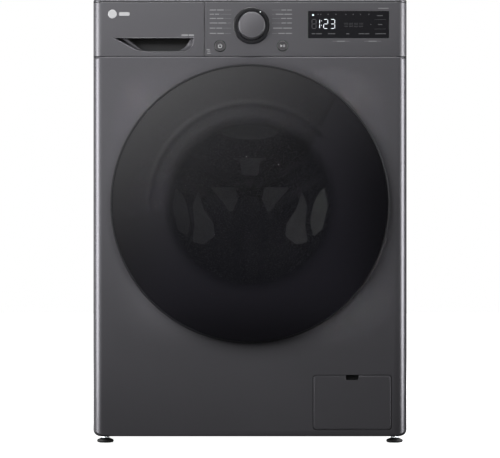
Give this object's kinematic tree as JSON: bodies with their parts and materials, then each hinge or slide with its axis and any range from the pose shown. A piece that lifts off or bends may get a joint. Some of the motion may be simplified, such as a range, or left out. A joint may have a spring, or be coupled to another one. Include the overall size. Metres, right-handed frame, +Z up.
{
  "type": "front load washing machine",
  "caption": "Free-standing front load washing machine with a round tinted door, detergent drawer, program knob, display, sprung tub and turning drum.",
  "frame": {"origin": "middle of the machine's box at floor level", "axes": "+Z up, -Y out of the door, +X to the right seen from the front"},
  "size_m": [0.6, 0.61, 0.85],
  "materials": {
    "cabinet_paint": "satin",
    "fascia_plastic": "satin",
    "knob_plastic": "satin",
    "black_plastic": "gloss",
    "smoked_cover": "gloss",
    "bowl_glass": "gloss",
    "stainless": "satin",
    "zinc_steel": "satin",
    "motor_steel": "satin",
    "cast_aluminium": "matte",
    "white_plastic": "matte",
    "lifter_plastic": "satin",
    "gasket_rubber": "matte",
    "black_rubber": "matte",
    "concrete": "matte",
    "circuit_board": "satin"
  },
  "bodies": {
    "cabinet": {"base_pan": "zinc_steel", "side_panel_left": "cabinet_paint", "side_panel_right": "cabinet_paint", "rear_panel": "cabinet_paint", "rear_service_cover": "zinc_steel", "top_panel": "cabinet_paint", "upper_crossbar": "zinc_steel", "front_panel": "cabinet_paint", "control_fascia": "fascia_plastic", "display_window": "smoked_cover", "knob_ring": "black_plastic", "control_board": "circuit_board", "dispenser_housing": "white_plastic", "inlet_valve": "white_plastic", "door_hinge_bracket": "zinc_steel", "door_lock": "black_plastic", "drain_pump": "black_plastic", "foot_front_left": "black_rubber", "foot_front_right": "black_rubber", "foot_rear_left": "black_rubber", "foot_rear_right": "black_rubber", "drain_outlet": "black_plastic", "power_gland": "black_plastic", "damper_cylinder_left": "zinc_steel", "damper_cylinder_right": "zinc_steel", "door_gasket": "gasket_rubber", "spring_left": "zinc_steel", "spring_right": "zinc_steel", "dispenser_hose": "black_rubber", "sump_hose": "black_rubber"},
    "tub": {"tub_front": "white_plastic", "tub_rear": "white_plastic", "counterweight_top": "concrete", "counterweight_bottom": "concrete", "heater": "stainless", "motor_stator": "cast_aluminium", "bearing_front": "stainless", "bearing_rear": "stainless", "damper_rod_left": "zinc_steel", "damper_rod_right": "zinc_steel"},
    "drum": {"drum": "stainless", "lifter_1": "lifter_plastic", "lifter_2": "lifter_plastic", "lifter_3": "lifter_plastic", "spider_and_shaft": "cast_aluminium", "motor_rotor": "motor_steel"},
    "door": {"door_ring": "black_plastic", "door_cover": "smoked_cover", "door_inner_frame": "black_plastic", "door_bowl": "bowl_glass", "door_hinge_arm": "zinc_steel"},
    "hook": {"door_hook": "zinc_steel"},
    "drawer": {"drawer_front": "fascia_plastic", "drawer_tray": "white_plastic"},
    "flap": {"service_flap": "fascia_plastic"},
    "filter": {"filter_cap": "black_plastic"},
    "impeller": {"pump_impeller": "white_plastic"},
    "knob": {"program_knob": "knob_plastic"},
    "power": {"power_button": "fascia_plastic"},
    "start": {"start_button": "fascia_plastic"}
  },
  "joints": [
    {"name": "door_hinge", "type": "hinge", "parent": "cabinet", "child": "door", "pos_m": [-0.251, -0.281, 0.458], "axis": [0, 0, -1], "range_deg": [0, 150]},
    {"name": "hook_pivot", "type": "hinge", "parent": "door", "child": "hook", "pos_m": [0.222, -0.276, 0.458], "axis": [0, 0, -1], "range_deg": [0, 8], "stiffness_Nm_per_rad": 0.3},
    {"name": "drawer_slide", "type": "slide", "parent": "cabinet", "child": "drawer", "axis": [0, -1, 0], "range_m": [0, 0.2]},
    {"name": "drum_spin", "type": "hinge", "parent": "tub", "child": "drum", "pos_m": [0, 0, 0.458], "axis": [0, 1, 0], "continuous": true},
    {"name": "tub_bounce", "type": "slide", "parent": "cabinet", "child": "tub", "axis": [0, 0, 1], "range_m": [-0.01, 0.01], "stiffness_N_per_m": 13000, "springref_m": 0.0213, "deforming": ["door_gasket", "spring_left", "spring_right", "dispenser_hose", "sump_hose"]},
    {"name": "flap_hinge", "type": "hinge", "parent": "cabinet", "child": "flap", "pos_m": [0.1953, -0.2596, 0.029], "axis": [1, 0, 0], "range_deg": [0, 90]},
    {"name": "filter_turn", "type": "hinge", "parent": "cabinet", "child": "filter", "pos_m": [0.1953, -0.24, 0.078], "axis": [0, -1, 0], "range_deg": [0, 180]},
    {"name": "pump_spin", "type": "hinge", "parent": "cabinet", "child": "impeller", "pos_m": [0.1953, -0.156, 0.078], "axis": [0, 1, 0], "continuous": true},
    {"name": "knob_turn", "type": "hinge", "parent": "cabinet", "child": "knob", "pos_m": [0.0032, -0.26, 0.7986], "axis": [0, -1, 0], "continuous": true},
    {"name": "power_press", "type": "slide", "parent": "cabinet", "child": "power", "axis": [0, 1, 0], "range_m": [0, 0.0015], "stiffness_N_per_m": 800},
    {"name": "start_press", "type": "slide", "parent": "cabinet", "child": "start", "axis": [0, 1, 0], "range_m": [0, 0.0015], "stiffness_N_per_m": 800}
  ]
}
